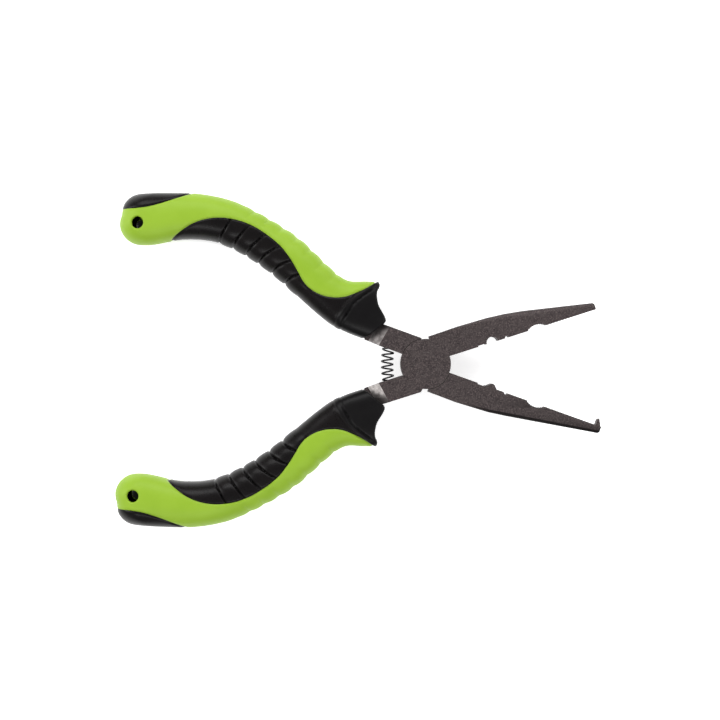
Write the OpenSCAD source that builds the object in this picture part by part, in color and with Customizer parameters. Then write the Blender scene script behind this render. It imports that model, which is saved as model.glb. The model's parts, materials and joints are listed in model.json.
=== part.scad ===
// Long-nose fishing pliers, held open by a coil spring.
// Two forged halves cross at a half-lap joint and turn on one flush rivet. Each half ends in
// a tang inside a moulded grip: a black core with a bare collar, a coloured shell, a ribbed
// finger inlay and a tail inlay.
// Frame: origin on the pivot axis at the joint's lower face, +X between the jaws towards
// their tips, +Z along the pivot. Drawn with the spring relaxed.

/* [Joint] */
// Opening angle between the jaws at rest
rest_open = 37.3; // [24:0.1:42]
// Diameter of the round lap joint
joint_d = 16; // [13:0.1:20]
// Thickness of the pliers at the joint
joint_t = 8.4; // [7:0.1:11]
// Clearance between the two lap faces
lap_gap = 0.06; // [0.02:0.01:0.2]
// Clearance between a lap disc and the recess it turns in
recess_gap = 0.15; // [0.05:0.01:0.4]
// Diameter of the rivet's shank
rivet_d = 5; // [4:0.1:7]
// Depth of the rivet's flush conical heads
rivet_head_h = 1.3; // [0.8:0.1:1.6]
// Radial running clearance round the rivet
rivet_gap = 0.04; // [0.01:0.01:0.1]

/* [Jaws] */
// Length of the plain jaw, from the pivot
jaw_l = 57.2; // [44:0.1:74]
// Width of one jaw behind the joint
jaw_w = 8.3; // [7:0.1:10]
// Width of one jaw at its tip
tip_w = 2.3; // [1.8:0.1:3.5]
// Thickness of the jaws at their tips
tip_t = 3.4; // [2.6:0.1:5]
// Roundness of the jaws' back edges
back_r = 1.1; // [0.5:0.1:1.2]
// Clearance between the jaws' faces when closed
bite_gap = 0.06; // [0.02:0.01:0.3]
// Length of the hook ahead of the plain jaw's tip
hook_l = 2.4; // [1.8:0.1:3.5]
// Drop of the hook's point below the jaw's face
hook_drop = 2.2; // [1.2:0.1:3]
// Distance from the pivot to the crimping notch
crimp_x = 22.3; // [18.5:0.1:26]
// Radius of the crimping notch
crimp_r = 1.9; // [1.2:0.1:2.1]
// Distance from the pivot to the long gripping hollow
hollow_x = 37.3; // [32:0.1:40]
// Length of the gripping hollow
hollow_l = 6.4; // [5:0.1:8]
// Depth of the gripping hollow
hollow_h = 1.2; // [0.6:0.1:1.6]
// Spacing of the fine teeth
tooth_pitch = 1; // [0.8:0.1:1.6]

/* [Arms and tangs] */
// Half of the gap between the arms when closed
arm_gap = 0.95; // [0.8:0.05:2]
// Offset of the plain half's handle, towards the middle
plain_set = -0.3; // [-0.5:0.05:0.5]
// Offset of the hook half's handle, towards the middle
hook_set = 0.45; // [-0.5:0.05:0.5]
// Outward lean of the hook half's handle, in degrees
hook_lean = 0.35; // [-0.5:0.05:0.6]
// Width of one arm
arm_w = 6.8; // [5.6:0.1:7.4]
// Distance from the pivot to the step down to the tang
arm_l = 15.4; // [14.8:0.1:18]
// Length of the slope between the arm and the tang
slope_l = 3.6; // [2:0.1:5]
// Skew of that slope across the arm, in degrees
slope_skew = 11; // [0:1:20]
// Thickness of the tang
tang_t = 4; // [3:0.1:5]

/* [Grips] */
// Length of a handle, from the pivot to its tail
handle_l = 107.4; // [88:0.1:132]
// Distance from the pivot to the grip's nose
grip_front = 16.3; // [15.5:0.1:20]
// Thickness of the grip at its thickest
grip_t = 13.6; // [11:0.1:17]
// Thickness of the moulded skin over the core
skin = 1.8; // [1.2:0.1:2.4]
// Radius of the lanyard hole
lanyard_r = 1.95; // [1.5:0.05:2.4]
// Distance from the tail to the lanyard hole's centre
lanyard_inset = 6.2; // [6:0.1:9]

/* [Spring] */
// Outer diameter of the return spring
spring_d = 3.9; // [3.2:0.1:4.4]
// Diameter of the spring's wire
wire_d = 0.5; // [0.4:0.05:0.7]
// Distance from the pivot to the spring's pockets, along an arm
spring_x = 13.4; // [12.8:0.1:13.6]
// Depth of the pocket at each end of the spring
pocket_h = 1.8; // [1.2:0.1:2.6]
// Clearance round the spring in its pockets
pocket_gap = 0.3; // [0.2:0.05:0.5]

/* [Hidden] */

half_open = rest_open / 2;
mid_z = joint_t / 2;
joint_r = joint_d / 2;
recess_r = joint_r + recess_gap;
rivet_r = rivet_d / 2;
rivet_head_r = rivet_r + rivet_head_h;
hook_tip = jaw_l + hook_l;
coil_r = (spring_d - wire_d) / 2;
pocket_r = spring_d / 2 + pocket_gap;
steel = [0.31, 0.28, 0.28];
black = [0.13, 0.13, 0.14];
dark = [0.08, 0.08, 0.09];
lime = [0.62, 0.80, 0.22];
tall = 40;      // height of a cutting prism, more than any piece
eps = 0.02;     // thickness of a hull's section plates

// ---- curves --------------------------------------------------------------------------
// A smooth curve through points [x, y], listed with x rising, read at x
function spanOf(pts, x, i = 0) =
    (i >= len(pts) - 2 || x < pts[i + 1][0]) ? i : spanOf(pts, x, i + 1);
function slopeAt(pts, i) =
    let (a = pts[max(i - 1, 0)], b = pts[min(i + 1, len(pts) - 1)])
    (b[1] - a[1]) / (b[0] - a[0]);
function curve(pts, x) =
    let (i = spanOf(pts, x), a = pts[i], b = pts[i + 1], w = b[0] - a[0],
         s = min(1, max(0, (x - a[0]) / w)), s2 = s * s, s3 = s2 * s)
    (2 * s3 - 3 * s2 + 1) * a[1] + (s3 - 2 * s2 + s) * w * slopeAt(pts, i)
    + (3 * s2 - 2 * s3) * b[1] + (s3 - s2) * w * slopeAt(pts, i + 1);

// The grip in plan, with the handle closed: [percent of the handle's length, y]
inner_edge = [[14, -1], [20, -1.2], [25, -1.3], [30, -1.9], [35, -3.6], [40, -5.7],
              [50, -10.1], [60, -13.2], [70, -14.3], [80, -11.6], [90, -5.7], [100, -3.2]];
outer_edge = [[14, -21.9], [20, -20.5], [25, -18.7], [30, -17], [35, -18], [40, -20.1],
              [50, -25], [60, -27.5], [70, -28.4], [80, -27], [90, -23.5], [100, -19.4]];
// Half thickness of the grip, as a share of half of grip_t
swell = [[14, 0.78], [22, 0.9], [30, 0.88], [50, 0.93], [70, 1], [85, 1], [100, 0.94]];
// Plan edges of the finger inlay and the tail inlay
finger_edge = [[21, -22], [22.5, -19.4], [24, -17], [26.5, -14.2], [29.5, -11.6], [33, -10.1],
               [36.5, -9.7], [40, -10.4], [42.5, -11.9], [45, -14.3], [48, -17], [52, -19.8],
               [58, -22.1], [63, -23], [67.5, -22.8], [72, -21.6], [76, -19.4], [79, -16.6],
               [81.5, -13], [83.5, -9.4], [86, -4]];
tail_edge = [[78, -31], [81.5, -27.3], [85.5, -23.5], [89, -20.3], [92, -17.9], [94, -16.6],
             [97, -15.1], [102, -13]];
// Rear edge of the bare collar: [y, percent of the handle's length]
collar_edge = [[-23, 18], [-18, 22.6], [-14, 25.2], [-9, 28], [-5, 29.3], [-1, 29.4], [3, 29]];
// Front of the grip: [place across from outer -1 to inner 1, mm behind the nose]
front_edge = [[-1, 8.2], [-0.86, 6.7], [-0.66, 5.7], [-0.5, 5.4], [-0.2, 3.9], [0.1, 1],
              [0.26, 0.1], [0.4, 0.7], [0.6, 2], [0.9, 3.7], [1, 4.9]];
// Centre line of the tang: [percent of the handle's length, y], and its half width
arm_mid = -arm_gap - arm_w / 2;
tang_line = [[12, arm_mid], [22, arm_mid - 0.7], [32, -8.2], [44, -13.6], [56, -18.6], [66, -20.9],
             [78, -19.8]];
tang_half = [[12, arm_w / 2 - 0.1], [22, arm_w / 2 - 0.2], [30, 2.8], [44, 2.7], [78, 2.2]];
tang_end = 78;      // percent of the handle's length
tail_depth = 8.6;   // length of the tail's round end
cap_l = 6.5;        // how far the tail's thickness rounds off
section_p = 2.4;    // squareness of the grip's section, 2 being an ellipse

function percent(x) = -100 * x / handle_l;
function along(p) = -p * handle_l / 100;
function innerY(x, inset = 0) = curve(inner_edge, percent(x)) - inset;
function outerY(x, inset = 0) = curve(outer_edge, percent(x)) + inset;
function middleY(x) = (innerY(x) + outerY(x)) / 2;

lanyard_x = -(handle_l - lanyard_inset);
lanyard_y = middleY(lanyard_x) + 1.8;

// ---- grip surface --------------------------------------------------------------------
// Share of full size at a distance d into a round end of length l
function roundEnd(d, l, p = 2) = d >= l ? 1 : pow(1 - pow(1 - max(0, d) / l, p), 1 / p);
function tailX(t, inset) =
    let (p = t < 0 ? 3.4 : 2)
    -handle_l + inset + tail_depth * (1 - pow(max(0, 1 - pow(abs(t), p)), 1 / p));
function frontX(t) = -grip_front - curve(front_edge, t);
// One ring of the grip: t runs across, from the inner edge at 1 to the outer edge at -1
function gripRing(u, sides, inset) =
    [for (k = [0 : sides - 1])
        let (a = 360 * k / sides, c = cos(a), s = sin(a), q = 2 / section_p,
             t = sign(c) * pow(abs(c), q), up = sign(s) * pow(abs(s), q),
             x0 = tailX(t, inset), x = x0 + u * (frontX(t) - inset - x0),
             yi = innerY(x, inset), yo = outerY(x, inset),
             h = grip_t / 2 * curve(swell, percent(x)) - inset)
        [x, (yi + yo) / 2 + t * (yi - yo) / 2, up * h * roundEnd(x - x0 + 0.15, cap_l)]];
// The closed skin: rings from the tail to the nose, and two end strips
module gripSolid(stations, sides, inset = 0) {
    rings = [for (i = [0 : stations]) gripRing(1 - cos(90 * i / stations), sides, inset)];
    points = [for (ring = rings) each ring];
    walls = [for (i = [0 : stations - 1]) for (k = [0 : sides - 1])
        let (n = (k + 1) % sides, a = i * sides, b = a + sides)
        each [[a + k, b + k, b + n], [a + k, b + n, a + n]]];
    strip = [for (k = [0 : sides / 2 - 1])
        let (n = k + 1, m = sides - k - 1, o = (sides - k) % sides)
        k == 0 ? [k, n, m] : n == m ? [k, n, o] : [k, n, m, o]];
    last = stations * sides;
    nose = [for (f = strip) [for (i = [len(f) - 1 : -1 : 0]) f[i] + last]];
    polyhedron(points, concat(walls, strip, nose));
}

// ---- grip regions, in plan -----------------------------------------------------------
module fingerPlan() {
    steps = [for (p = [21 : 2.5 : 86]) [along(p), curve(finger_edge, p)]];
    polygon(concat(steps, [[along(86), 20], [along(18), 20], [along(18), finger_edge[0][1]]]));
}
module tailPlan() {
    steps = [for (p = [78 : 3 : 102]) [along(p), curve(tail_edge, p)]];
    polygon(concat(steps, [[along(102), -60], [along(78), -60]]));
}
module collarPlan() {
    steps = [for (y = [-23 : 2 : 3]) [along(curve(collar_edge, y)), y]];
    intersection() {
        polygon(concat(steps, [[0, 3], [0, -23]]));
        union() {
            fingerPlan();
            translate([along(23), -23]) square([60, 30]);
        }
    }
}
module through() {
    translate([0, 0, -tall / 2]) linear_extrude(height = tall) children();
}
module skinLayer() {
    difference() {
        gripSolid(28, 28);
        gripSolid(16, 16, skin);
    }
}
module lanyardBore() {
    translate([lanyard_x, lanyard_y, -tall / 2]) cylinder(r = lanyard_r, h = tall, $fn = 48);
}

// ---- the forged halves, closed, with z = 0 at the middle of the joint ------------------
module tangPlan() {
    upper = [for (p = [12 : 3 : tang_end]) [along(p), curve(tang_line, p) + curve(tang_half, p)]];
    lower = [for (p = [tang_end : -3 : 12]) [along(p), curve(tang_line, p) - curve(tang_half, p)]];
    polygon(concat(upper, lower));
}
module tangSolid() {
    translate([0, 0, -tang_t / 2]) linear_extrude(height = tang_t) tangPlan();
}
// Arm, step and tang
module armSolid() {
    outer_y = -arm_gap - arm_w;
    corner = 0.8;
    translate([0, 0, -joint_t / 2]) linear_extrude(height = joint_t)
        polygon([[0, -arm_gap], [0, outer_y + corner], [-joint_r * 0.42, outer_y + corner],
                 [-joint_r * 0.42 - corner, outer_y], [-arm_l + 1, outer_y],
                 [-arm_l - 0.6, -arm_gap]]);
    intersection() {
        translate([0, 0, -joint_t / 2]) linear_extrude(height = joint_t)
            polygon([[-arm_l + 2, -arm_gap], [-arm_l + 2, outer_y], [-arm_l - 3, outer_y],
                     [-arm_l - slope_l - 2, outer_y + 0.2],
                     [-arm_l - slope_l - 2, -arm_gap - 0.2]]);
        translate([-arm_l, arm_mid, 0]) rotate([0, 0, slope_skew])
            rotate([90, 0, 0]) linear_extrude(height = 2 * arm_w, center = true)
                polygon([[4, -joint_t / 2], [0, -joint_t / 2], [-slope_l, -tang_t / 2],
                         [-slope_l - 6, -tang_t / 2], [-slope_l - 6, tang_t / 2],
                         [-slope_l, tang_t / 2], [0, joint_t / 2], [4, joint_t / 2]]);
    }
    tangSolid();
}
// One section plate of a jaw: w wide, t thick, with its two back edges rounded
module jawPlate(x, w, t, r) {
    for (z = [-1, 1]) translate([x, w - r, z * (t / 2 - r)]) rotate([0, 90, 0])
        cylinder(r = r, h = eps, $fn = 32);
    translate([x, -4, -t / 2]) cube([eps, 1, t]);
}
// The tapered blank of a jaw; brow is the jaw's width at 60% of its length
module jawBlank(length, brow) {
    neck_t = joint_t - (joint_t - tip_t) * 0.12;
    brow_t = joint_t - (joint_t - tip_t) * 0.5;
    hull() {
        jawPlate(joint_r * 0.46, jaw_w - 0.2, joint_t, 0.3);
        jawPlate(joint_r + 5, jaw_w, joint_t, 0.5);
        jawPlate(length * 0.4, min(jaw_w - 0.2, brow + 1.75), neck_t, back_r);
        jawPlate(length * 0.5, min(jaw_w - 0.7, brow + 0.95), (neck_t + brow_t) / 2, back_r);
        jawPlate(length * 0.6, brow - 0.1, brow_t, back_r);
        jawPlate(length - 0.5, tip_w + 0.1, tip_t, back_r * 0.9);
        jawPlate(length - eps, tip_w - 0.3, tip_t - 0.5, back_r * 0.7);
    }
}
// What is cut from both jaws' faces: step, small notch, gripping hollow and fine teeth
module biteCuts() {
    hollow_r = (pow(hollow_l / 2, 2) + pow(hollow_h, 2)) / (2 * hollow_h);
    half_arc = asin(hollow_l / 2 / hollow_r);
    translate([crimp_x - 4.7, -2]) square([2.6, 2.4]);
    translate([crimp_x + 4.9, 0]) circle(r = 0.7, $fn = 32);
    translate([hollow_x, hollow_h - hollow_r]) {
        circle(r = hollow_r, $fn = 96);
        for (a = [-half_arc * 0.8 : half_arc * 0.2 : half_arc * 0.8])
            rotate(90 - a) translate([hollow_r, 0]) rotate(45)
                square(0.36, center = true);
    }
    for (x = [hollow_x + hollow_l / 2 + 1 : tooth_pitch : jaw_l - 1.2])
        translate([x, bite_gap]) rotate(45) square(0.36, center = true);
}
// The half-lap: disc, arm and jaw joined on the upper side, bored for the rivet
module forging(gap, side) {
    difference() {
        union() {
            translate([0, 0, lap_gap / 2])
                cylinder(r = joint_r, h = joint_t / 2 - lap_gap / 2, $fn = 128);
            difference() {
                union() {
                    setHandle(side) armSolid();
                    children();
                }
                translate([0, 0, -joint_t])
                    cylinder(r = recess_r, h = joint_t + lap_gap / 2, $fn = 128);
            }
        }
        rivetShape(gap);
        setHandle(side) translate([-spring_x, -arm_gap - pocket_h, 0]) rotate([-90, 0, 0])
            cylinder(r = pocket_r, h = pocket_h + 1, $fn = 48);
    }
}
module plainJaw() {
    intersection() {
        jawBlank(jaw_l, jaw_w * 0.83);
        through() difference() {
            translate([joint_r * 0.38, bite_gap]) square([jaw_l, jaw_w + 2]);
            biteCuts();
            translate([crimp_x, 0]) circle(r = crimp_r, $fn = 48);
        }
    }
}
module hookJaw() {
    face_x = jaw_l + 0.4;
    intersection() {
        jawBlank(hook_tip, jaw_w * 0.73);
        through() {
            difference() {
                translate([joint_r * 0.38, bite_gap]) square([hook_tip, jaw_w + 2]);
                biteCuts();
            }
            // pressing tooth, which enters the plain jaw's notch
            polygon([[crimp_x - crimp_r + 0.1, 0.5], [crimp_x - crimp_r + 0.2, bite_gap],
                     [crimp_x - 0.6, -crimp_r * 0.55], [crimp_x, -crimp_r * 0.66],
                     [crimp_x + 0.6, -crimp_r * 0.55], [crimp_x + crimp_r - 0.3, bite_gap],
                     [crimp_x + crimp_r - 0.2, 0.5]]);
            // hook
            polygon([[face_x, 0.5], [face_x, -hook_drop * 0.75], [face_x + 0.5, -hook_drop],
                     [face_x + 1.1, -hook_drop * 0.5], [hook_tip, 0.7], [hook_tip, 1]]);
        }
    }
}
// Rivet with two flush conical heads, grown by gap for the hole round it
module rivetShape(gap = 0) {
    over = gap > 0 ? 0.5 : 0;
    rotate_extrude($fn = 96)
        polygon([[0, -joint_t / 2 - over], [rivet_head_r + gap + over, -joint_t / 2 - over],
                 [rivet_r + gap, -joint_t / 2 + rivet_head_h],
                 [rivet_r + gap, joint_t / 2 - rivet_head_h],
                 [rivet_head_r + gap + over, joint_t / 2 + over], [0, joint_t / 2 + over]]);
}

// ---- placing -------------------------------------------------------------------------
// side 1 lays a closed half at its rest angle, side -1 turns it over for the other half
module setHandle(side) {
    rotate([0, 0, side > 0 ? 0 : hook_lean]) translate([0, side > 0 ? plain_set : hook_set, 0])
        children();
}
module layGrip(side) {
    lay(side) setHandle(side) children();
}
module lay(side) {
    translate([0, 0, mid_z]) rotate([0, 0, side * half_open])
        rotate([side < 0 ? 180 : 0, 0, 0]) children();
}

// ---- nodes ---------------------------------------------------------------------------
module plain_jaw_half() {
    color(steel) lay(1) forging(0, 1) plainJaw();
}
module hook_jaw_half() {
    color(steel) lay(-1) forging(rivet_gap, -1) hookJaw();
}
module pivot_rivet() {
    color(steel) translate([0, 0, mid_z]) rivetShape();
}

// Spring on a shallow arc between the two pockets, with one closed turn at each end
spring_bend = 10;       // lean of the spring at its ends, in degrees
open_turns = 6;
seat = wire_d + 0.1;    // height of the end turn's middle above the pocket's floor
function spread(k) =    // share of the length reached at share k of the turns
    let (a = 1 / (open_turns + 2), e = 0.05)
    k < a ? e * k / a : k > 1 - a ? 1 - e * (1 - k) / a
    : e + (1 - 2 * e) * (k - a) / (1 - 2 * a);
module return_spring() {
    // the end turns' middles, in the lower and the upper arm's pocket
    low_in = arm_gap + pocket_h - seat - plain_set;
    up_in = arm_gap + pocket_h - seat - hook_set;
    low = [-spring_x * cos(half_open) + low_in * sin(half_open),
           -spring_x * sin(half_open) - low_in * cos(half_open)];
    up_turn = half_open + hook_lean;
    up = [-spring_x * cos(up_turn) + up_in * sin(up_turn),
          spring_x * sin(up_turn) + up_in * cos(up_turn)];
    tilt = atan2(low[0] - up[0], up[1] - low[1]);
    half_l = norm(up - low) / 2;
    bow_r = half_l / sin(spring_bend);
    per_turn = 14;
    sides = 6;
    count = (open_turns + 2) * per_turn;
    rings = [for (i = [0 : count])
        let (k = i / count, lean = spring_bend * (2 * spread(k) - 1), turn = 360 * i / per_turn,
             out = [-cos(lean), sin(lean), 0],
             centre = [bow_r * cos(spring_bend), 0, 0] + bow_r * out,
             coil = out * cos(turn) + [0, 0, sin(turn)])
        [for (s = [0 : sides - 1])
            let (b = 360 * s / sides, axis = [sin(lean), cos(lean), 0])
            centre + coil * (coil_r + wire_d / 2 * cos(b)) + axis * (wire_d / 2 * sin(b))]];
    points = [for (ring = rings) each ring];
    walls = [for (i = [0 : count - 1]) for (s = [0 : sides - 1])
        let (n = (s + 1) % sides, a = i * sides, b = a + sides)
        each [[a + s, b + s, b + n], [a + s, b + n, a + n]]];
    first = [for (s = [0 : sides - 1]) s];
    last = [for (s = [sides - 1 : -1 : 0]) count * sides + s];
    color(dark) translate([(low[0] + up[0]) / 2, (low[1] + up[1]) / 2, mid_z])
        rotate([0, 0, tilt]) polyhedron(points, concat(walls, [first, last]));
}

// The four pieces of one grip, closed
module gripCore() {
    difference() {
        union() {
            gripSolid(16, 16, skin);
            intersection() {
                gripSolid(28, 28);
                through() collarPlan();
            }
        }
        tangSolid();
        armSolid();
        lanyardBore();
    }
}
module gripShell() {
    difference() {
        skinLayer();
        through() {
            fingerPlan();
            tailPlan();
            collarPlan();
        }
        lanyardBore();
    }
}
module fingerInlay() {
    difference() {
        intersection() {
            skinLayer();
            through() fingerPlan();
        }
        through() collarPlan();
    }
}
module tailInlay() {
    intersection() {
        skinLayer();
        through() tailPlan();
    }
}
module lower_grip_core() { color(dark) layGrip(1) gripCore(); }
module lower_grip_shell() { color(lime) layGrip(1) gripShell(); }
module lower_finger_inlay() { color(black) layGrip(1) fingerInlay(); }
module lower_tail_inlay() { color(black) layGrip(1) tailInlay(); }
module upper_grip_core() { color(dark) layGrip(-1) gripCore(); }
module upper_grip_shell() { color(lime) layGrip(-1) gripShell(); }
module upper_finger_inlay() { color(black) layGrip(-1) fingerInlay(); }
module upper_tail_inlay() { color(black) layGrip(-1) tailInlay(); }

plain_jaw_half();
hook_jaw_half();
pivot_rivet();
return_spring();
lower_grip_core();
lower_grip_shell();
lower_finger_inlay();
lower_tail_inlay();
upper_grip_core();
upper_grip_shell();
upper_finger_inlay();
upper_tail_inlay();
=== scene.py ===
import json
import math

import bmesh
import bpy
from mathutils import Matrix, Vector


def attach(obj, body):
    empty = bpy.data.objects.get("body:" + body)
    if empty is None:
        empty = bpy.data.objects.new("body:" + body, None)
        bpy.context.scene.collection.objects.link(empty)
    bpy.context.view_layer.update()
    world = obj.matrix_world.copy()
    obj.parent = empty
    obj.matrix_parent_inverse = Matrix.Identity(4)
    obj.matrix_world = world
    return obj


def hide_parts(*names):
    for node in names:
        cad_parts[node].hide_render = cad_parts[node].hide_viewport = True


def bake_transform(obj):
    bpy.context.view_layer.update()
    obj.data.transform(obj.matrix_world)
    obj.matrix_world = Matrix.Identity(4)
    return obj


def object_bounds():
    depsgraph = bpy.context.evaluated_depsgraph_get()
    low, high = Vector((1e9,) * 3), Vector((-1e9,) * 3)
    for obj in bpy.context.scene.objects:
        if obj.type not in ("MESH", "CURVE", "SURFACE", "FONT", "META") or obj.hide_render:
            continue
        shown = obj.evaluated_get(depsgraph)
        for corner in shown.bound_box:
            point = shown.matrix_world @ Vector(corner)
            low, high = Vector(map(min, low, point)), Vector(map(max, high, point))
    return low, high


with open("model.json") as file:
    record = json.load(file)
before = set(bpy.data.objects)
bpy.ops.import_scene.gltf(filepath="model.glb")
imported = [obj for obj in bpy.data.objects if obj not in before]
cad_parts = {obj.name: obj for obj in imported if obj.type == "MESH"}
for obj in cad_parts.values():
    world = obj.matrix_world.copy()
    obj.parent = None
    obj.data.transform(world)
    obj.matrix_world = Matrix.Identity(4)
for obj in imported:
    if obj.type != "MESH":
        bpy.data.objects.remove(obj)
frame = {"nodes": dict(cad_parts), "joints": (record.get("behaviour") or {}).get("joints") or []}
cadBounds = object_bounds()
scene = bpy.context.scene
mm = 0.001
print("frame loaded:", len(frame["nodes"]), "nodes")


viewSetup = {
    "aim": (-20.9, 0.91),       # mm, the point under the lens
    "frameWidth": 230.4,        # mm of the floor that the picture takes in
    "lens": 80,
    "roll": 0.97,               # degrees
    "floorGlow": 0.58,
    "floorColor": (0.95, 0.95, 0.95),
    "world": 0.42,
    # name, place in metres from the middle of the pliers, size, watts
    "softboxes": [
        ("topBox", (0.0, 0.66, 0.60), (1.0, 0.4), 5.2),
        ("leftBox", (-0.76, 0.12, 0.46), (0.35, 0.7), 3.6),
        ("rightBox", (0.74, 0.05, 0.62), (0.35, 0.7), 2.0),
        ("lowBox", (0.0, -0.62, 0.85), (0.8, 0.3), 3.1),
    ],
    "floorDrop": 0.0002,
    "floorReach": 0.012,            # how near the pliers have to be to put painted shadow on the floor
    "floorDark": (0.33, 0.45),      # openness where it is dark, where it is bright
    "floorBrightFrom": (-0.07, -0.06),      # x; the floor stays bright beyond it
}


def addCamera():
    data = bpy.data.cameras.new("camera")
    data.lens = viewSetup["lens"]
    cam = bpy.data.objects.new("camera", data)
    distance = data.lens / data.sensor_width * viewSetup["frameWidth"] * mm
    aimX, aimY = viewSetup["aim"]
    cam.location = (aimX * mm, aimY * mm, pivotZ + distance)
    cam.rotation_euler = (0, 0, math.radians(viewSetup["roll"]))
    data.clip_start = 0.01
    scene.collection.objects.link(cam)
    scene.camera = cam


def addSoftbox(name, place, size, power):
    # an area light that faces the middle of the pliers
    data = bpy.data.lights.new(name, "AREA")
    data.shape = "RECTANGLE"
    data.size, data.size_y = size
    data.energy = power
    light = bpy.data.objects.new(name, data)
    middle = Vector((viewSetup["aim"][0] * mm, 0, 0))
    light.location = middle + Vector(place)
    light.rotation_euler = (-Vector(place)).to_track_quat("-Z", "Y").to_euler()
    scene.collection.objects.link(light)


pivotZ = frame["joints"][0]["pos_m"][2]
addCamera()
for softbox in viewSetup["softboxes"]:
    addSoftbox(*softbox)

bm = bmesh.new()
bmesh.ops.create_grid(bm, x_segments=1, y_segments=1, size=3)
bmesh.ops.translate(bm, verts=bm.verts, vec=(0, 0, min(v[2] for v in cadBounds) - viewSetup["floorDrop"]))
floorMesh = bpy.data.meshes.new("floor")
bm.to_mesh(floorMesh)
bm.free()
floor = bpy.data.objects.new("floor", floorMesh)
scene.collection.objects.link(floor)

world = bpy.data.worlds.new("studio")
world.use_nodes = True
world.node_tree.nodes["Background"].inputs["Color"].default_value = (1, 1, 1, 1)
world.node_tree.nodes["Background"].inputs["Strength"].default_value = viewSetup["world"]
scene.world = world
scene.view_settings.view_transform = "Standard"
print("view and lights set")


def newMaterial(name):
    mat = bpy.data.materials.new(name)
    mat.use_nodes = True
    tree = mat.node_tree
    return mat, tree, tree.nodes["Principled BSDF"]


def addNode(tree, kind, **values):
    # a node with its sockets set by name, or its properties where no socket has that name
    node = tree.nodes.new(kind)
    for key, value in values.items():
        if key in node.inputs:
            node.inputs[key].default_value = value
        else:
            setattr(node, key, value)
    return node


def colorRamp(tree, factor, stops):
    ramp = tree.nodes.new("ShaderNodeValToRGB")
    tree.links.new(factor, ramp.inputs["Fac"])
    elements = ramp.color_ramp.elements
    while len(elements) < len(stops):
        elements.new(0.5)
    for element, (place, color) in zip(elements, stops):
        element.position = place
        element.color = (*color, 1)
    return ramp.outputs["Color"]


def rangeOf(tree, value, low, high, toLow, toHigh):
    node = addNode(tree, "ShaderNodeMapRange")
    tree.links.new(value, node.inputs["Value"])
    for key, number in (("From Min", low), ("From Max", high), ("To Min", toLow), ("To Max", toHigh)):
        node.inputs[key].default_value = number
    return node.outputs["Result"]


def groupSockets(group, inputs, outputs):
    for name, default in inputs:
        socket = group.interface.new_socket(name, in_out="INPUT", socket_type="NodeSocketFloat")
        socket.default_value = default
    for name in outputs:
        group.interface.new_socket(name, in_out="OUTPUT", socket_type="NodeSocketFloat")
    return group.nodes.new("NodeGroupInput"), group.nodes.new("NodeGroupOutput")


def buildGrainGroup():
    # a fine even grain with larger soft clouds: Fine and Clouds run from 0 to 1
    group = bpy.data.node_groups.new("surfaceGrain", "ShaderNodeTree")
    source, sink = groupSockets(group, [("Fine Size", 2500.0), ("Cloud Size", 120.0)], ["Fine", "Clouds"])
    place = group.nodes.new("ShaderNodeTexCoord")
    for label, size, detail in (("Fine", "Fine Size", 3.0), ("Clouds", "Cloud Size", 4.0)):
        noise = addNode(group, "ShaderNodeTexNoise", Detail=detail, Roughness=0.55)
        group.links.new(place.outputs["Object"], noise.inputs["Vector"])
        group.links.new(source.outputs[size], noise.inputs["Scale"])
        group.links.new(noise.outputs["Fac"], sink.inputs[label])
    return group


def buildWearGroup():
    # 1 where the surface turns within Reach, broken up by noise, and 0 on open faces
    group = bpy.data.node_groups.new("edgeWear", "ShaderNodeTree")
    source, sink = groupSockets(group, [("Reach", 0.0003), ("Break Size", 900.0)], ["Wear"])
    soft = addNode(group, "ShaderNodeBevel", samples=4)
    group.links.new(source.outputs["Reach"], soft.inputs["Radius"])
    plain = group.nodes.new("ShaderNodeNewGeometry")
    match = addNode(group, "ShaderNodeVectorMath", operation="DOT_PRODUCT")
    group.links.new(soft.outputs["Normal"], match.inputs[0])
    group.links.new(plain.outputs["Normal"], match.inputs[1])
    turned = rangeOf(group, match.outputs["Value"], 0.995, 0.85, 0, 1)
    place = group.nodes.new("ShaderNodeTexCoord")
    noise = addNode(group, "ShaderNodeTexNoise", Detail=4.0)
    group.links.new(place.outputs["Object"], noise.inputs["Vector"])
    group.links.new(source.outputs["Break Size"], noise.inputs["Scale"])
    gaps = rangeOf(group, noise.outputs["Fac"], 0.42, 0.6, 0, 1)
    broken = addNode(group, "ShaderNodeMath", operation="MULTIPLY", use_clamp=True)
    group.links.new(turned, broken.inputs[0])
    group.links.new(gaps, broken.inputs[1])
    group.links.new(broken.outputs[0], sink.inputs["Wear"])
    return group


def buildPaintedCreviceShadeGroup():
    # painted shade: 1 deep in gaps and grooves narrower than Reach, 0 in the open
    group = bpy.data.node_groups.new("paintedCreviceShade", "ShaderNodeTree")
    source, sink = groupSockets(group, [("Reach", 0.0008)], ["Depth"])
    openness = addNode(group, "ShaderNodeAmbientOcclusion", samples=6)
    group.links.new(source.outputs["Reach"], openness.inputs["Distance"])
    depth = rangeOf(group, openness.outputs["AO"], 0.85, 0.4, 0, 1)
    group.links.new(depth, sink.inputs["Depth"])
    return group


grainGroup = buildGrainGroup()
wearGroup = buildWearGroup()
paintedCreviceShadeGroup = buildPaintedCreviceShadeGroup()


def useGroup(tree, group, **values):
    node = tree.nodes.new("ShaderNodeGroup")
    node.node_tree = group
    for key, value in values.items():
        node.inputs[key.replace("_", " ")].default_value = value
    return node


def mixColors(tree, factor, low, high):
    mix = addNode(tree, "ShaderNodeMix", data_type="RGBA")
    tree.links.new(factor, mix.inputs["Factor"])
    first, second = [s for s in mix.inputs if s.type == "RGBA"]
    for socket, value in ((first, low), (second, high)):
        if isinstance(value, bpy.types.NodeSocket):
            tree.links.new(value, socket)
        else:
            socket.default_value = (*value, 1)
    return [s for s in mix.outputs if s.type == "RGBA"][0]


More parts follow.
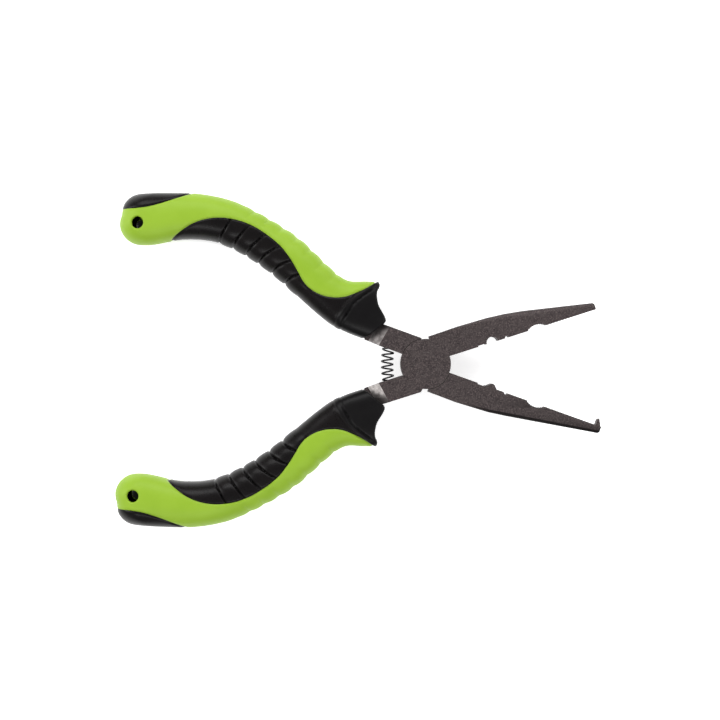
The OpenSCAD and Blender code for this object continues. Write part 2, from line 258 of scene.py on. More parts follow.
def addBump(tree, shader, height, strength, distance):
    bump = addNode(tree, "ShaderNodeBump", Strength=strength, Distance=distance)
    tree.links.new(height, bump.inputs["Height"])
    tree.links.new(bump.outputs["Normal"], shader.inputs["Normal"])


steelFinish = {
    "dark": (0.022, 0.0165, 0.017),
    "middle": (0.047, 0.035, 0.036),
    "light": (0.106, 0.083, 0.081),
    "rough": (0.46, 0.62),
    "worn": (0.15, 0.135, 0.13),
    "cloud": (0.068, 0.054, 0.053),
    # painted shade deep in gaps and grooves
    "paintedCreviceShade": (0.004, 0.003, 0.003),
    "back": (0.005, 0.004, 0.004),      # painted shade on the hooked jaw's rounded back
    "coated": (0.04, 0.032, 0.032),     # the step to the tang, on its outer side
    "bare": (0.95, 0.89, 0.86),         # and on its inner side, a painted highlight
    "metal": 0.55,
}


def makeCoatedSteel(name, shaded):
    # bead-blasted steel under a thin dark coating, rubbed paler on its edges
    mat, tree, shader = newMaterial(name)
    grain = useGroup(tree, grainGroup, Fine_Size=2300, Cloud_Size=520)
    speckle = colorRamp(tree, grain.outputs["Fine"], [
        (0.34, steelFinish["dark"]), (0.5, steelFinish["middle"]), (0.66, steelFinish["light"])])
    clouds = rangeOf(tree, grain.outputs["Clouds"], 0.40, 0.62, 0.0, 0.5)
    tinted = mixColors(tree, clouds, speckle, steelFinish["cloud"])
    wear = useGroup(tree, wearGroup, Reach=0.00025, Break_Size=1400)
    faint = rangeOf(tree, wear.outputs["Wear"], 0, 1, 0, 0.55)
    worn = mixColors(tree, faint, tinted, steelFinish["worn"])
    # painted shade deep in gaps and grooves
    paintedCreviceShade = useGroup(tree, paintedCreviceShadeGroup, Reach=0.0007)
    base = mixColors(tree, paintedCreviceShade.outputs["Depth"], worn, steelFinish["paintedCreviceShade"])
    shader.inputs["Metallic"].default_value = steelFinish["metal"]
    if shaded:
        # painted shade on the hooked jaw's back: darker, less metallic and less specular
        shade = addNode(tree, "ShaderNodeAttribute", attribute_name="paintedBackShade").outputs["Fac"]
        base = mixColors(tree, shade, base, steelFinish["back"])
        tree.links.new(rangeOf(tree, shade, 0, 0.6, steelFinish["metal"], 0), shader.inputs["Metallic"])
        tree.links.new(rangeOf(tree, shade, 0, 0.6, 0.5, 0.08), shader.inputs["Specular IOR Level"])
    tree.links.new(base, shader.inputs["Base Color"])
    low, high = steelFinish["rough"]
    tree.links.new(rangeOf(tree, grain.outputs["Fine"], 0.3, 0.7, low, high), shader.inputs["Roughness"])
    addBump(tree, shader, grain.outputs["Fine"], 0.35, 0.00008)
    return mat


def makeStepHighlightSteel():
    # the step down to each tang, with a painted highlight: pale towards the inside and on the lower arm's
    # side, the dark coating colour towards the outside
    mat, tree, shader = newMaterial("stepHighlightSteel")
    grain = useGroup(tree, grainGroup, Fine_Size=1300, Cloud_Size=520)
    place = tree.nodes.new("ShaderNodeTexCoord")
    parts = tree.nodes.new("ShaderNodeSeparateXYZ")
    tree.links.new(place.outputs["Object"], parts.inputs[0])
    out = addNode(tree, "ShaderNodeMath", operation="ABSOLUTE")
    tree.links.new(parts.outputs["Y"], out.inputs[0])
    inner = rangeOf(tree, out.outputs[0], 0.0085, 0.0112, 1, 0.08)
    patchy = addNode(tree, "ShaderNodeMath", operation="MULTIPLY")
    tree.links.new(inner, patchy.inputs[0])
    tree.links.new(rangeOf(tree, grain.outputs["Clouds"], 0.35, 0.62, 0.35, 1), patchy.inputs[1])
    # painted highlight, stronger on the lower arm (-y) than on the upper
    paintedHighlight = addNode(tree, "ShaderNodeMath", operation="MULTIPLY")
    tree.links.new(patchy.outputs[0], paintedHighlight.inputs[0])
    tree.links.new(rangeOf(tree, parts.outputs["Y"], -0.008, 0.008, 1, 0.3), paintedHighlight.inputs[1])
    base = mixColors(tree, paintedHighlight.outputs[0], steelFinish["coated"], steelFinish["bare"])
    tree.links.new(base, shader.inputs["Base Color"])
    tree.links.new(rangeOf(tree, grain.outputs["Fine"], 0.3, 0.7, 0.38, 0.55), shader.inputs["Roughness"])
    shader.inputs["Metallic"].default_value = steelFinish["metal"]
    addBump(tree, shader, grain.outputs["Fine"], 0.3, 0.00006)
    return mat


plainFinishes = {
    "wire": ((0.012, 0.012, 0.013), (0.035, 0.034, 0.036)),
    "lime": ((0.236, 0.395, 0.018), (0.252, 0.415, 0.022), (0.270, 0.436, 0.028)),
    "limeWorn": (0.42, 0.60, 0.13),
    "rubber": {"shades": ((0.0030, 0.0023, 0.0025), (0.0056, 0.0043, 0.0045)),
               "rough": (0.25, 0.37), "bumpStrength": 0.2, "shine": 0.15},
    "core": {"shades": ((0.003, 0.0026, 0.003), (0.0048, 0.0044, 0.0047)),
             "rough": (0.3, 0.4), "bumpStrength": 0.1, "shine": 0.14},
    "blackWorn": (0.022, 0.020, 0.021),
}


def makeSpringWire():
    mat, tree, shader = newMaterial("springWire")
    grain = useGroup(tree, grainGroup, Fine_Size=3000, Cloud_Size=500)
    dark, light = plainFinishes["wire"]
    base = colorRamp(tree, grain.outputs["Clouds"], [(0.35, dark), (0.7, light)])
    tree.links.new(base, shader.inputs["Base Color"])
    tree.links.new(rangeOf(tree, grain.outputs["Fine"], 0.3, 0.7, 0.28, 0.42), shader.inputs["Roughness"])
    shader.inputs["Metallic"].default_value = 0.5
    addBump(tree, shader, grain.outputs["Fine"], 0.15, 0.00002)
    return mat


def makeLimePlastic():
    # satin moulded plastic with a faint mottle
    mat, tree, shader = newMaterial("limePlastic")
    shader.inputs["Specular IOR Level"].default_value = 0.28
    grain = useGroup(tree, grainGroup, Fine_Size=2600, Cloud_Size=90)
    mottle = colorRamp(tree, grain.outputs["Clouds"], list(zip((0.3, 0.5, 0.7), plainFinishes["lime"])))
    wear = useGroup(tree, wearGroup, Reach=0.0003, Break_Size=600)
    faint = rangeOf(tree, wear.outputs["Wear"], 0, 1, 0, 0.25)
    tree.links.new(mixColors(tree, faint, mottle, plainFinishes["limeWorn"]), shader.inputs["Base Color"])
    tree.links.new(rangeOf(tree, grain.outputs["Fine"], 0.3, 0.7, 0.42, 0.54), shader.inputs["Roughness"])
    addBump(tree, shader, grain.outputs["Fine"], 0.12, 0.00003)
    return mat


def makeBlack(name, shades, rough, bumpStrength, shine):
    # black rubber, or the plainer black plastic of the cores
    mat, tree, shader = newMaterial(name)
    shader.inputs["Specular IOR Level"].default_value = shine
    grain = useGroup(tree, grainGroup, Fine_Size=2200, Cloud_Size=140)
    base = colorRamp(tree, grain.outputs["Clouds"], [(0.32, shades[0]), (0.68, shades[1])])
    wear = useGroup(tree, wearGroup, Reach=0.0003, Break_Size=700)
    faint = rangeOf(tree, wear.outputs["Wear"], 0, 1, 0, 0.4)
    worn = mixColors(tree, faint, base, plainFinishes["blackWorn"])
    # painted shade, nearly black, deep in gaps and grooves
    paintedCreviceShade = useGroup(tree, paintedCreviceShadeGroup, Reach=0.001)
    base = mixColors(tree, paintedCreviceShade.outputs["Depth"], worn, (0.001, 0.001, 0.001))
    tree.links.new(base, shader.inputs["Base Color"])
    tree.links.new(rangeOf(tree, grain.outputs["Fine"], 0.3, 0.7, *rough), shader.inputs["Roughness"])
    addBump(tree, shader, grain.outputs["Fine"], bumpStrength, 0.00004)
    return mat


def makeFloorPaint():
    # a white light table with painted shadow: dark, and without glow, only where the handles close over it
    mat, tree, shader = newMaterial("floorPaper")
    bare = addNode(tree, "ShaderNodeAmbientOcclusion", samples=24, Distance=viewSetup["floorReach"])
    place = tree.nodes.new("ShaderNodeTexCoord")
    parts = tree.nodes.new("ShaderNodeSeparateXYZ")
    tree.links.new(place.outputs["Object"], parts.inputs[0])
    lit = addNode(tree, "ShaderNodeMath", operation="MAXIMUM")
    tree.links.new(rangeOf(tree, bare.outputs["AO"], *viewSetup["floorDark"], 0, 1), lit.inputs[0])
    tree.links.new(rangeOf(tree, parts.outputs["X"], *viewSetup["floorBrightFrom"], 0, 1), lit.inputs[1])
    paper = mixColors(tree, lit.outputs[0], (0.01, 0.01, 0.01), viewSetup["floorColor"])
    tree.links.new(paper, shader.inputs["Base Color"])
    shader.inputs["Emission Color"].default_value = (1, 1, 1, 1)
    glow = rangeOf(tree, lit.outputs[0], 0, 1, 0, viewSetup["floorGlow"])
    tree.links.new(glow, shader.inputs["Emission Strength"])
    shader.inputs["Roughness"].default_value = 0.9
    return mat


coatedSteel = makeCoatedSteel("coatedSteel", False)
# the same steel with the painted shade on the hooked jaw's back
hookSteel = makeCoatedSteel("hookSteel", True)
stepHighlightSteel = makeStepHighlightSteel()
springWire = makeSpringWire()
limePlastic = makeLimePlastic()
blackRubber = makeBlack("blackRubber", **plainFinishes["rubber"])
blackCore = makeBlack("blackCore", **plainFinishes["core"])
floor.data.materials.append(makeFloorPaint())
print("materials made")


def newPiece(bm, name, materials, body, slot, *nodes):
    # bm's mesh as a finished piece that rides on body and stands for nodes
    mesh = bpy.data.meshes.new(name)
    bm.to_mesh(mesh)
    bm.free()
    mesh.shade_smooth()
    piece = bpy.data.objects.new(name, mesh)
    scene.collection.objects.link(piece)
    for mat in materials:
        mesh.materials.append(mat)
    if body:
        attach(piece, body)
    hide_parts(*nodes)
    return piece


def curveAt(points, x):
    # a smooth curve through points, straight beyond its ends
    last = len(points) - 1
    if x <= points[0][0] or x >= points[last][0]:
        a, b = (points[0], points[1]) if x <= points[0][0] else (points[last], points[last - 1])
        return a[1] + (x - a[0]) * (b[1] - a[1]) / (b[0] - a[0])
    i = 0
    while points[i + 1][0] < x:
        i += 1

    def slope(k):
        a, b = points[max(k - 1, 0)], points[min(k + 1, last)]
        return (b[1] - a[1]) / (b[0] - a[0])

    (x0, y0), (x1, y1) = points[i], points[i + 1]
    width = x1 - x0
    s = (x - x0) / width
    s2, s3 = s * s, s * s * s
    return ((2 * s3 - 3 * s2 + 1) * y0 + (s3 - 2 * s2 + s) * width * slope(i)
            + (3 * s2 - 2 * s3) * y1 + (s3 - s2) * width * slope(i + 1))


def smoothStep(low, high, x):
    s = min(1, max(0, (x - low) / (high - low)))
    return s * s * (3 - 2 * s)


# Worked out in mm with the handle closed and z = 0 at the joint's middle, then laid in place

gripShape = {
    "length": 107.4,
    "nose": 16.3,
    "thickness": 13.6,
    "tailDepth": 8.6,
    "tailPower": 5.4,       # how square its outer corner is
    "tailBulge": 0.6,       # how far its outer half stands out
    "capLength": 6.5,
    "noseRound": 0.95,
    "noseShare": 0.975,     # the share of the rows that comes before the nose's rounding
    "columnSpacing": 1.7,
    "tailSpread": 0.83,     # how the columns crowd towards the sides of the tail, and of the nose
    "noseSpread": 0.57,
    "easedShare": 0.45,     # of the rows' spacing, the rest is even
    "squareFrom": (0.02, 0.12),     # u where the tail's round rows become squared ones
    "wallEnd": 1.02,        # u of the last row, on the nose's middle line
    "skin": 1.7,
    # plan edges: percent of the handle's length, y
    "inner": [(14, -1), (20, -1.2), (25, -1.3), (30, -1.9), (35, -3.6), (40, -5.7),
              (50, -10.1), (60, -13.2), (70, -14.3), (80, -11.6), (90, -5.7), (100, -3.2)],
    "outer": [(14, -21.9), (20, -20.5), (25, -18.7), (30, -17), (35, -18), (40, -20.1),
              (50, -25), (60, -27.5), (70, -28.4), (80, -27), (90, -23.5), (100, -19.4)],
    "swell": [(14, 0.78), (22, 0.9), (30, 0.88), (50, 0.93), (70, 1), (85, 1), (100, 0.94)],
    "squareness": [(14, 3.6), (27, 3.4), (33, 2.4), (80, 2.4), (100, 2.6)],
    "finger": [(21, -22), (22.5, -19.4), (24, -17), (26.5, -14.2), (29.5, -11.6), (33, -10.1),
               (36.5, -9.7), (40, -10.4), (42.5, -11.9), (45, -14.3), (48, -17), (52, -19.8),
               (58, -22.1), (63, -23), (67.5, -22.8), (72, -21.6), (76, -19.4), (79, -16.6),
               (81.5, -13), (83.5, -9.4), (86, -4)],
    "tail": [(78, -31), (81.5, -27.3), (85.5, -23.5), (89, -20.3), (92, -17.9), (94, -16.6),
             (97, -15.1), (102, -13)],
    "collar": [(-23, 20.2), (-18, 22.8), (-14, 25.2), (-9, 28), (-5, 29.3), (-1, 29.4), (3, 29)],
    # place across from outer -1 to inner 1, mm behind the nose
    "front": [(-1, 6.2), (-0.9, 5.8), (-0.75, 5.9), (-0.62, 5.7), (-0.5, 5.4), (-0.2, 3.9), (0.1, 1),
              (0.26, 0.1), (0.4, 0.7), (0.6, 2), (0.9, 3.7), (1, 4.9)],
    "holeInset": 6.2,
    "holeRise": 1.8,
    "holeRadius": 1.95,
    "alongCells": 420,
    "roundCells": 160,
}
gripDetail = {
    # each groove: where it meets the inner edge, its lean and its bend on the way to the shell
    "ribs": [(-75.2, 0.18, 0), (-70.5, 0.28, 0.004), (-65.7, 0.3, 0.015),
             (-61.2, 0.35, 0.025), (-56.0, 0.35, 0.038), (-51.0, 0.35, 0.045)],
    "ribSpan": 5.2,
    "lineDepth": 0.5,           # each groove along its whole length, and half its width
    "lineWidth": 0.5,
    "pitDepth": 0.14,           # its wider part near the inner edge, and half its width on each side
    "pitWidths": (0.8, 1.5),
    "pitFade": (1.2, 5.2),      # how far in from that edge it fades out
    "ribSwell": 0.34,
    "seamDepth": 0.32,
    "seamWidth": 0.5,
    "tailSeamFade": (-106.5, -103),     # x where the tail inlay's seam gets its full depth
    # the collar's rim, measured forwards from the collar's edge: y, where it starts and ends
    "rimStart": [(-20, -0.6), (-16, -1.0), (-11, -1.1), (-7, -0.4), (-3, 0), (0, 0)],
    "rimEnd": [(-20, 0.5), (-16, 0.8), (-11, 1.0), (-7, 1.9), (-3, 2.3), (0, 2.4)],
    "rimHeight": 0.45,
    "rimLoss": 0.75,            # the share of its height that it loses towards the inner edge
    "rimLossSpan": (-7.5, -2.5),
    "creaseDepth": 0.55,        # in front of the rim, and behind it
    "backCreaseDepth": 0.22,
    "creaseWidth": 0.55,
    "panelDepth": 0.15,
    "scallop": 0.5,
    "scallopPitch": 5.2,
    "scallopSpan": (-72, -34),
    "scallopLean": 0.45,
    # how far the back swells between the scallops: x, mm
    "backSwell": [(-75, 0), (-66, -0.3), (-56, -0.2), (-48, 0.35), (-42, 0.45), (-36, 0.15), (-31, 0)],
    "holeRound": 0.5,
}
gripPlace = {
    "halfOpen": 37.3 / 2,
    "plainSet": -0.3,
    "hookSet": 0.45,
    "hookLean": 0.35,
}


def percentOf(x):
    return -100 * x / gripShape["length"]


def alongOf(percent):
    return -percent * gripShape["length"] / 100


def innerY(x):
    return curveAt(gripShape["inner"], percentOf(x))


def outerY(x):
    return curveAt(gripShape["outer"], percentOf(x))


def inlayGap(name, x, y):
    # distance from an inlay's plan edge, positive on the side of the jaws' middle line
    edge = gripShape[name]
    here = curveAt(edge, percentOf(x))
    slope = (curveAt(edge, percentOf(x + 0.1)) - here) / 0.1
    return (y - here) / math.hypot(1, slope)


def fingerGap(x, y):
    # positive inside the finger inlay
    return inlayGap("finger", x, y)


def tailGap(x, y):
    # positive inside the tail inlay
    return -inlayGap("tail", x, y)


def collarGap(x, y):
    # positive on the collar's side of its edge
    edge = gripShape["collar"]
    here = alongOf(curveAt(edge, y))
    slope = (alongOf(curveAt(edge, y + 0.1)) - here) / 0.1
    return (x - here) / math.hypot(1, slope)


def rimGap(x, y):
    # the true distance from the collar's edge, positive in front of it
    point = Vector((x, y))
    nearest = min(range(1, len(collarPoints) - 1), key=lambda i: (collarPoints[i] - point).length_squared)
    before, middle, after = collarPoints[nearest - 1:nearest + 2]
    gaps = []
    for a, b in ((before, middle), (middle, after)):
        share = min(1, max(0, (point - a).dot(b - a) / (b - a).length_squared))
        gaps.append((point - a - (b - a) * share).length)
    return math.copysign(min(gaps), collarGap(x, y))


collarLevels = [-24 + k / 2 for k in range(55)]
collarPoints = [Vector((alongOf(curveAt(gripShape["collar"], y)), y)) for y in collarLevels]
holeX = -(gripShape["length"] - gripShape["holeInset"])
holeY = (innerY(holeX) + outerY(holeX)) / 2 + gripShape["holeRise"]


def holeGap(x, y):
    return math.hypot(x - holeX, y - holeY) - gripShape["holeRadius"]


def roundEnd(distance, length):
    if distance >= length:
        return 1
    return math.sqrt(max(0, 1 - (1 - max(0, distance) / length) ** 2))


def evenAngle(turn):
    # spaces the columns evenly round a squared section
    c, s, spacing = math.cos(turn), math.sin(turn), gripShape["columnSpacing"]
    return math.atan2(math.copysign(abs(s) ** spacing, s), math.copysign(abs(c) ** spacing, c))


def gripPoint(u, angle):
    # u runs from the tail at 0 to the nose at 1, then down the nose's wall to its middle line
    c, s = math.cos(angle), math.sin(angle)
    noseShare = gripShape["noseShare"]
    turn = min(1, max(0, (u - noseShare) / (1 - noseShare))) * math.pi / 2
    shrink = gripShape["noseRound"] * (1 - math.cos(turn))
    t = math.copysign(abs(c) ** gripShape["tailSpread"], c)
    tailPower = gripShape["tailPower"] if t < 0 else 2
    tailRound = 1 - max(0, 1 - abs(t) ** tailPower) ** (1 / tailPower)
    bulge = math.sin(math.pi * max(0, -t)) ** 2
    x0 = -gripShape["length"] + gripShape["tailDepth"] * tailRound - gripShape["tailBulge"] * bulge
    place = math.copysign(abs(c) ** gripShape["noseSpread"], c)
    reach = -gripShape["nose"] - curveAt(gripShape["front"], place) - gripShape["noseRound"]
    if u < noseShare:
        ease = 1 - math.cos(u / noseShare * math.pi / 2)
        eased = gripShape["easedShare"]
        mixed = eased * ease + (1 - eased) * u / noseShare
        x = x0 + mixed * (reach - x0)
    else:
        x = reach + gripShape["noseRound"] * math.sin(turn)
    yIn, yOut = innerY(x), outerY(x)
    half = (yIn - yOut) / 2 - shrink
    power = 2 / curveAt(gripShape["squareness"], percentOf(x))
    across = math.copysign(abs(c) ** power, c)
    across = t + (across - t) * smoothStep(*gripShape["squareFrom"], u)
    y = (yIn + yOut) / 2 + across * half
    up = math.copysign(abs(s) ** power, s)
    high = gripShape["thickness"] / 2 * curveAt(gripShape["swell"], percentOf(x)) - shrink
    z = up * high * roundEnd(x - x0, gripShape["capLength"])
    return Vector((x, y, 0 if u > 1 else z))


def cutAlong(bm, gapOf, near):
    # splits the faces that the line gapOf = 0 crosses; near limits the search to where it runs
    gaps = {v: gapOf(v.co.x, v.co.y) for v in bm.verts if near(v.co)}
    shares = {}
    for e in bm.edges:
        a, b = gaps.get(e.verts[0], 0), gaps.get(e.verts[1], 0)
        if a * b < 0 and min(abs(a), abs(b)) > 0.02:
            shares[e] = abs(a) / (abs(a) + abs(b))
    bmesh.ops.bisect_edges(bm, edges=list(shares), cuts=1, edge_percents=shares)
    onLine = [v for v in bm.verts if near(v.co) and abs(gapOf(v.co.x, v.co.y)) < 0.02]
    bmesh.ops.connect_verts(bm, verts=onLine)


def groove(distance, depth, width):
    # the depth of a round-bottomed groove at a distance from its middle
    s = max(0, 1 - abs(distance) / width)
    return depth * s * s * (3 - 2 * s)


def raiseOf(x, y):
    # how far the surface stands proud of the plain grip at a point in plan, in mm
    d = gripDetail
    finger, tail, collar, hole = fingerGap(x, y), tailGap(x, y), collarGap(x, y), holeGap(x, y)
    onFinger = smoothStep(-0.1, 0.1, finger)
    tailSeam = d["seamDepth"] * (0.3 + 0.7 * smoothStep(*d["tailSeamFade"], x))
    height = -max(groove(finger, d["seamDepth"], d["seamWidth"]), groove(tail, tailSeam, d["seamWidth"]))
    if x > alongOf(36) and finger > -0.3:
        # a rounded rim between two creases, then the flat panel
        gap = rimGap(x, y)
        level = min(0, max(-20, y))
        start, end = curveAt(d["rimStart"], level), curveAt(d["rimEnd"], level)
        share = min(1, max(0, (gap - start) / (end - start)))
        rim = d["rimHeight"] * (4 * share * (1 - share)) ** 0.7
        rim -= groove(gap - end, d["creaseDepth"], d["creaseWidth"])
        rim -= groove(gap - start, d["backCreaseDepth"], d["creaseWidth"])
        rim -= d["panelDepth"] * smoothStep(end, end + 0.5, gap)
        inside = 1 - d["rimLoss"] * smoothStep(*d["rimLossSpan"], y)
        height += rim * inside * smoothStep(-0.3, 0.5, finger) * smoothStep(-20, -16.5, y)
    if finger > -0.2 and collar < -2:
        inward = max(0, innerY(x) - y)
        offsets = [x - rib - lean * inward - bend * inward ** 2 for rib, lean, bend in d["ribs"]]
        offset = min(offsets, key=abs)
        # steep on the side towards the tail, easing out towards the jaws
        pit = d["pitDepth"] * (1 - smoothStep(*d["pitFade"], inward))
        width = d["pitWidths"][0 if offset < 0 else 1]
        line = groove(offset, d["lineDepth"], d["lineWidth"]) * (0.6 + 0.4 * smoothStep(0.3, 2, inward))
        height -= onFinger * (line + groove(offset, pit, width))
        ahead = [gap for gap in offsets if gap >= 0]
        if ahead:
            s = min(1, min(ahead) / d["ribSpan"])
            crown = math.sin(math.pi * s) ** 0.8 * (1.15 - 0.3 * s)
            height += onFinger * d["ribSwell"] * crown * (1 - 0.5 * smoothStep(3, 9, inward))
    if finger < 0.2:
        first, last = d["scallopSpan"]
        outward = y - outerY(x)
        fade = smoothStep(first - 2, first + 5, x) * (1 - smoothStep(last - 3, last, x))
        phase = (x + d["scallopLean"] * outward) / d["scallopPitch"]
        wave = abs(math.sin(math.pi * phase)) ** 0.7 - 0.7
        height += d["scallop"] * wave * fade * (1 - smoothStep(0.8, 5, outward)) * (1 - onFinger)
        if d["backSwell"][0][0] < x < d["backSwell"][-1][0]:
            height += curveAt(d["backSwell"], x) * (1 - smoothStep(1, 7, outward)) * (1 - onFinger)
    if hole < d["holeRound"]:
        s = 1 - max(0, hole) / d["holeRound"]
        height -= d["holeRound"] * (1 - math.sqrt(max(0, 1 - s * s)))
    return height


def regionOf(x, y):
    if holeGap(x, y) < 0:
        return "hole"
    if collarGap(x, y) > 0 and (fingerGap(x, y) > 0 or x > alongOf(23)):
        return "core"
    if fingerGap(x, y) > 0:
        return "finger"
    return "tail" if tailGap(x, y) > 0 else "shell"


regionNames = ["shell", "finger", "tail", "core", "hole"]


def buildGripSurface():
    # the whole outer surface, cut along its seams, each face marked with its piece
    bm = bmesh.new()
    rows, around = gripShape["alongCells"], gripShape["roundCells"]
    bmesh.ops.create_grid(bm, x_segments=rows, y_segments=around, size=1)
    for v in bm.verts:
        row = round((v.co.x + 1) / 2 * rows)
        u = gripShape["wallEnd"] if row == rows else row / (rows - 1)
        v.co = gripPoint(u, evenAngle((v.co.y + 1) * math.pi))
    bmesh.ops.remove_doubles(bm, verts=bm.verts, dist=0.0005)
    bmesh.ops.recalc_face_normals(bm, faces=bm.faces)
    end = alongOf(77)
    cutAlong(bm, fingerGap, lambda co: co.x > alongOf(90))
    cutAlong(bm, tailGap, lambda co: co.x < end)
    cutAlong(bm, collarGap, lambda co: co.x > alongOf(35))
    cutAlong(bm, holeGap, lambda co: co.x < alongOf(90))
    for face in bm.faces:
        middle = face.calc_center_median()
        face.material_index = regionNames.index(regionOf(middle.x, middle.y))
    return bm


def steadyNormals(bm):
    # weighted by area, so that the slivers along a cut don't turn them
    bm.normal_update()
    sized = {f: f.normal * f.calc_area() for f in bm.faces}
    return [sum((sized[f] for f in v.link_faces), Vector()).normalized() for v in bm.verts]


def shapeSurface(bm):
    # ribs, seams, ridge and scallops, along the normals
    for v, normal in zip(bm.verts, steadyNormals(bm)):
        v.co += normal * raiseOf(v.co.x, v.co.y)
    outwards = bm.verts.layers.float_vector.new("outwards")
    for v, normal in zip(bm.verts, steadyNormals(bm)):
        v[outwards] = normal


def keepRegion(bm, region):
    index = regionNames.index(region)
    others = [f for f in bm.faces if f.material_index != index]
    bmesh.ops.delete(bm, geom=others, context="FACES")
    for face in bm.faces:
        face.material_index = 0


def layMatrix(side):
    # closed handle in mm to its resting place in metres
    lay = Matrix.Translation((0, 0, pivotZ)) @ Matrix.Scale(mm, 4)
    turn = Matrix.Rotation(math.radians(side * gripPlace["halfOpen"]), 4, "Z")
    if side > 0:
        return lay @ turn @ Matrix.Translation((0, gripPlace["plainSet"], 0))
    flip = Matrix.Rotation(math.pi, 4, "X") @ Matrix.Rotation(math.radians(gripPlace["hookLean"]), 4, "Z")
    return lay @ turn @ flip @ Matrix.Translation((0, gripPlace["hookSet"], 0))


def buildSkinPiece(surface, region):
    # its part of the surface, closed by a second wall one skin further in
    bm = surface.copy()
    keepRegion(bm, region)
    outwards = bm.verts.layers.float_vector["outwards"]
    made = bmesh.ops.extrude_face_region(bm, geom=bm.faces[:], use_keep_orig=True)
    for v in [g for g in made["geom"] if isinstance(g, bmesh.types.BMVert)]:
        v.co -= v[outwards] * gripShape["skin"]
    bmesh.ops.recalc_face_normals(bm, faces=bm.faces)
    return bm


def buildCore(surface):
    # the bare collar, and behind it the sleeve that the skin is moulded on, with the lanyard hole
    bm = surface.copy()
    core, hole = regionNames.index("core"), regionNames.index("hole")
    outwards = bm.verts.layers.float_vector["outwards"]
    for v in bm.verts:
        if all(f.material_index != core for f in v.link_faces):
            v.co -= v[outwards] * (gripShape["skin"] + 0.05)
    bmesh.ops.delete(bm, geom=[f for f in bm.faces if f.material_index == hole], context="FACES")
    rim = [e for e in bm.edges if e.is_boundary]
    bmesh.ops.bridge_loops(bm, edges=rim)
    for face in bm.faces:
        face.material_index = 0
    return bm


def finishGripPieces():
    surface = buildGripSurface()
    shapeSurface(surface)
    print("grip surface:", len(surface.faces), "faces")
    builders = {
        "grip_shell": (lambda: buildSkinPiece(surface, "shell"), limePlastic, "lime_shell"),
        "finger_inlay": (lambda: buildSkinPiece(surface, "finger"), blackRubber, "black_rubber"),
        "tail_inlay": (lambda: buildSkinPiece(surface, "tail"), blackRubber, "black_rubber"),
        "grip_core": (lambda: buildCore(surface), blackCore, "black_core"),
    }
    for kind, (build, mat, slot) in builders.items():
        shape = build()
        for side, where, body in ((1, "lower", "plain_half"), (-1, "upper", "hook_half")):
            laid = shape.copy()
            bmesh.ops.transform(laid, matrix=layMatrix(side), verts=laid.verts)
            node = f"{where}_{kind}"
            piece = newPiece(laid, node + "_piece", [mat], body, slot, node)
            piece.data.set_sharp_from_angle(angle=math.radians(50))
        shape.free()
        print("made", kind)
    surface.free()


finishGripPieces()


forging = {
    "edgeRound": 0.16,      # mm
    "facetSpan": (-22, -12),        # x of the step down to the tang
    "backFrom": (12, 22),           # x where the painted shade on the hooked jaw's back fades in
    "facetSlope": (0.6, 0.95),      # how level that step is
    "flatArea": 4e-6,
    "rimLength": 0.00032,
}


def copyNode(name):
    # the CAD node's mesh, merged and with its flat faces made whole
    bm = bmesh.new()
    bm.from_mesh(frame["nodes"][name].data)
    bmesh.ops.remove_doubles(bm, verts=bm.verts, dist=2e-6)
    bmesh.ops.dissolve_limit(bm, angle_limit=math.radians(0.6), verts=bm.verts, edges=bm.edges)
    return bm


def softenRims(bm, width):
    # rounds the long outline edges of the flat upper and lower faces
    bm.normal_update()
    rims = []
    for e in bm.edges:
        if len(e.link_faces) != 2 or e.calc_face_angle(0) < math.radians(40):
            continue
        flat = [f for f in e.link_faces if abs(f.normal.z) > 0.9 and f.calc_area() > forging["flatArea"]]
        if flat and e.calc_length() > forging["rimLength"]:
            rims.append(e)
    bmesh.ops.bevel(bm, geom=rims, affect="EDGES", offset=width * mm, segments=2, profile=0.5,
                    material=-1, clamp_overlap=True)


def makeHalf(node, body):
    bm = copyNode(node)
    softenRims(bm, forging["edgeRound"])
    bm.normal_update()
    low, high = forging["facetSlope"]
    first, last = forging["facetSpan"]
    # the step faces get the steel with the painted highlight
    for face in bm.faces:
        onStep = low < abs(face.normal.z) < high and first < face.calc_center_median().x / mm < last
        if onStep and face.calc_area() > forging["flatArea"]:
            face.material_index = 1
    # painted shade: where the hooked jaw's back turns towards -y it is painted darker than its faces
    shade = bm.verts.layers.float.new("paintedBackShade")
    half = math.radians(gripPlace["halfOpen"])
    for v in bm.verts:
        depth = -(v.co.y * math.cos(half) + v.co.x * math.sin(half)) / mm
        turned = smoothStep(0.03, 0.25, -v.normal.y) * smoothStep(0.6, 1.4, depth)
        v[shade] = turned * smoothStep(*forging["backFrom"], v.co.x / mm)
    steel = hookSteel if node == "hook_jaw_half" else coatedSteel
    piece = newPiece(bm, node + "_piece", [steel, stepHighlightSteel], body, "coated_steel", node)
    piece.data.set_sharp_from_angle(angle=math.radians(24))
    for face in piece.data.polygons:
        face.use_smooth = abs(face.normal.z) < 0.998


makeHalf("plain_jaw_half", "plain_half")
makeHalf("hook_jaw_half", "hook_half")
for materialSlot in frame["nodes"]["pivot_rivet"].material_slots:
    materialSlot.material = coatedSteel
print("forged halves made")


spring = {
    "outer": 4.15,
    "wire": 0.56,
    "shift": (0.4, 0),      # mm, how far it sits from the pockets' middle
    "openTurns": 6,
    "lean": 10,         # degrees at its ends
    "pocketX": 13.4,    # along each arm
    "armGap": 0.95,
    "pocketDepth": 1.8,
    "stepsPerTurn": 28,
    "wireSides": 12,
    "seatGap": 0.1,     # mm between an end turn and its pocket's floor
    "endShare": 0.05,   # of its length, taken by each end turn
    "freeRise": 10.0,   # mm for each turn while it is straight, so that turns stay apart
}


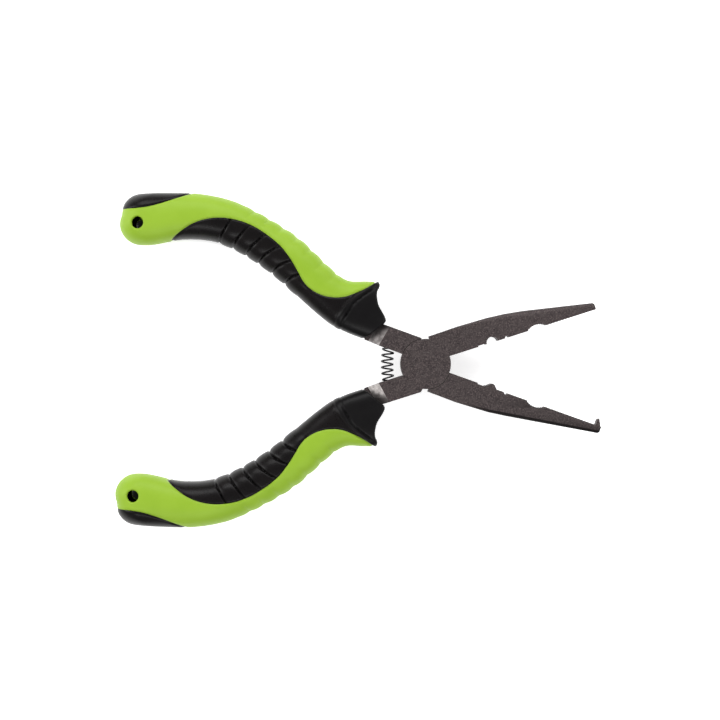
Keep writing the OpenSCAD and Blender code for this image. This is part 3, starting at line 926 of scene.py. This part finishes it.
def springEnds():
    # the middle of the end turn in each arm's pocket, lower then upper
    depth = spring["armGap"] + spring["pocketDepth"] - spring["wire"] - spring["seatGap"]
    plainAngle = math.radians(gripPlace["halfOpen"])
    hookAngle = plainAngle + math.radians(gripPlace["hookLean"])
    ends = []
    for side, angle, shift in ((-1, plainAngle, "plainSet"), (1, hookAngle, "hookSet")):
        x, y = spring["pocketX"], depth - gripPlace[shift]
        c, s = math.cos(angle), math.sin(angle)
        ends.append(Vector((y * s - x * c, side * (x * s + y * c), 0)))
    return ends


def makeSpring():
    # a plain coil spun round z, then its turns are spaced and bent onto a shallow arc
    low, up = springEnds()
    turns = spring["openTurns"] + 2
    coil = (spring["outer"] - spring["wire"]) / 2
    bm = bmesh.new()
    bmesh.ops.create_circle(bm, segments=spring["wireSides"], radius=spring["wire"] / 2, cap_ends=True)
    bmesh.ops.rotate(bm, verts=bm.verts, cent=(0, 0, 0), matrix=Matrix.Rotation(math.pi / 2, 3, "X"))
    bmesh.ops.translate(bm, verts=bm.verts, vec=(coil, 0, 0))
    steps = turns * spring["stepsPerTurn"]
    rise = spring["freeRise"]
    bmesh.ops.spin(bm, geom=bm.verts[:] + bm.edges[:] + bm.faces[:], cent=(0, 0, 0), axis=(0, 0, 1),
                   dvec=(0, 0, rise / spring["stepsPerTurn"]), angle=2 * math.pi * turns, steps=steps,
                   use_merge=False)
    length = (up - low).length
    bow = length / 2 / math.sin(math.radians(spring["lean"]))
    across = (up - low).normalized()
    outwards = Vector((-across.y, across.x, 0))
    ends = 1 / turns
    squeezed = spring["endShare"]
    middle = (low + up) / 2 + Vector((*spring["shift"], 0))
    middle -= outwards * bow * math.cos(math.radians(spring["lean"]))
    for v in bm.verts:
        angle = math.atan2(v.co.y, v.co.x) % (2 * math.pi)
        turn = round(v.co.z / rise - angle / (2 * math.pi))
        k = (turn + angle / (2 * math.pi)) / turns
        side = v.co.z - k * turns * rise
        if k < ends:
            share = squeezed * k / ends
        elif k > 1 - ends:
            share = 1 - squeezed * (1 - k) / ends
        else:
            share = squeezed + (1 - 2 * squeezed) * (k - ends) / (1 - 2 * ends)
        lean = math.radians(spring["lean"]) * (2 * share - 1)
        radius = math.hypot(v.co.x, v.co.y)
        out = outwards * math.cos(lean) + across * math.sin(lean)
        axis = across * math.cos(lean) - outwards * math.sin(lean)
        ring = out * math.cos(angle) + Vector((0, 0, 1)) * math.sin(angle)
        v.co = middle + out * bow - ring * radius + axis * side
    bmesh.ops.transform(bm, matrix=Matrix.Translation((0, 0, pivotZ)) @ Matrix.Scale(mm, 4), verts=bm.verts)
    bmesh.ops.recalc_face_normals(bm, faces=bm.faces)
    piece = newPiece(bm, "return_spring_piece", [springWire], None, "spring_wire", "return_spring")
    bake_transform(piece)


makeSpring()
print("spring made")
